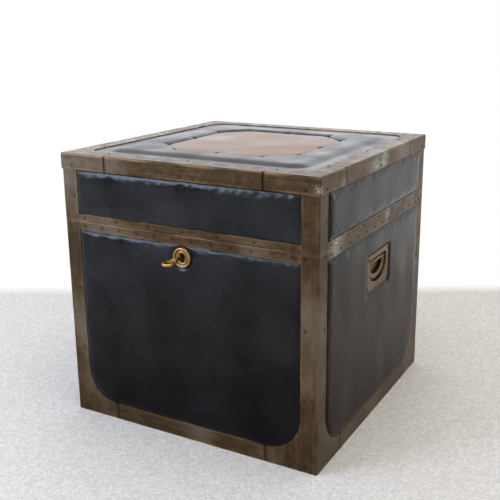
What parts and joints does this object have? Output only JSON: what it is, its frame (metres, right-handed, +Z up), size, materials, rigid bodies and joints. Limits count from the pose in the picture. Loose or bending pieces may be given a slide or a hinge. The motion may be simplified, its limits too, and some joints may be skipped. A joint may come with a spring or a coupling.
{
  "type": "campaign trunk",
  "caption": "Cube-shaped storage trunk with hinged lid, leather panels, nailed brass binding, padded top, flush bail handles and a key-operated box lock.",
  "frame": {"origin": "on the floor, under the middle of the trunk's square base", "axes": "+Z up; -Y is the front with the key; +X is the right side as seen from the front"},
  "size_m": [0.4606, 0.5118, 0.4535],
  "materials": {
    "wood": "bare sawn wood",
    "black_leather": "smooth waxed black leather",
    "brown_leather": "worn brown leather",
    "aged_brass": "dull, streaky patina",
    "handle_brass": "cast, browned in the hollows",
    "bright_brass": "polished",
    "hinge_brass": "dull",
    "dark_nail": "blackened",
    "lock_steel": "dull steel"
  },
  "bodies": {
    "trunk_body": {"back_base_strip": "aged_brass", "back_board": "wood", "back_leather": "black_leather", "back_left_post": "aged_brass", "back_right_post": "aged_brass", "back_rim_strip": "aged_brass", "body_hinge_screws": "lock_steel", "body_nails": "dark_nail", "bottom_board": "wood", "escutcheon": "bright_brass", "front_base_strip": "aged_brass", "front_board": "wood", "front_leather": "black_leather", "front_left_post": "aged_brass", "front_right_post": "aged_brass", "front_rim_strip": "aged_brass", "handle_pins": "handle_brass", "handle_screws": "lock_steel", "hinge_pins": "hinge_brass", "left_base_strip": "aged_brass", "left_board": "wood", "left_handle_plate": "handle_brass", "left_hinge_body_leaf": "hinge_brass", "left_leather": "black_leather", "left_rim_strip": "aged_brass", "lock_case": "lock_steel", "lock_screws": "lock_steel", "right_base_strip": "aged_brass", "right_board": "wood", "right_handle_plate": "handle_brass", "right_hinge_body_leaf": "hinge_brass", "right_leather": "black_leather", "right_rim_strip": "aged_brass"},
    "lid": {"cap_corners": "aged_brass", "cap_strips": "aged_brass", "left_hinge_lid_leaf": "hinge_brass", "lid_back_board": "wood", "lid_back_leather": "black_leather", "lid_front_board": "wood", "lid_front_leather": "black_leather", "lid_hinge_screws": "lock_steel", "lid_left_board": "wood", "lid_left_leather": "black_leather", "lid_nails": "dark_nail", "lid_posts": "aged_brass", "lid_right_board": "wood", "lid_right_leather": "black_leather", "lid_rim_strips": "aged_brass", "lid_top_board": "wood", "medallion_nails": "dark_nail", "right_hinge_lid_leaf": "hinge_brass", "strike_plate": "lock_steel", "strike_screws": "lock_steel", "top_leather_ring": "black_leather", "top_medallion": "brown_leather"},
    "left_bail": {"left_bail": "handle_brass"},
    "right_bail": {"right_bail": "handle_brass"},
    "key": {"key": "bright_brass"},
    "lock_bolt": {"lock_bolt": "lock_steel"}
  },
  "joints": [
    {"name": "lid_hinge", "type": "hinge", "parent": "trunk_body", "child": "lid", "pos_m": [0, 0.2314, 0.34], "axis": [-1, 0, 0], "range_deg": [0, 100]},
    {"name": "left_bail_swing", "type": "hinge", "parent": "trunk_body", "child": "left_bail", "pos_m": [-0.224, 0, 0.2725], "axis": [0, 1, 0], "range_deg": [0, 90]},
    {"name": "right_bail_swing", "type": "hinge", "parent": "trunk_body", "child": "right_bail", "pos_m": [0.224, 0, 0.2725], "axis": [0, -1, 0], "range_deg": [0, 90]},
    {"name": "key_turn", "type": "hinge", "parent": "trunk_body", "child": "key", "pos_m": [0, -0.24, 0.306], "axis": [0, 1, 0], "range_deg": [-90, 180]},
    {"name": "bolt_slide", "type": "slide", "parent": "trunk_body", "child": "lock_bolt", "axis": [1, 0, 0], "range_m": [-0.004, 0.008]}
  ],
  "couplings": [
    {"joint": "bolt_slide", "follows": "key_turn", "m_per_rad": 0.0025464}
  ]
}
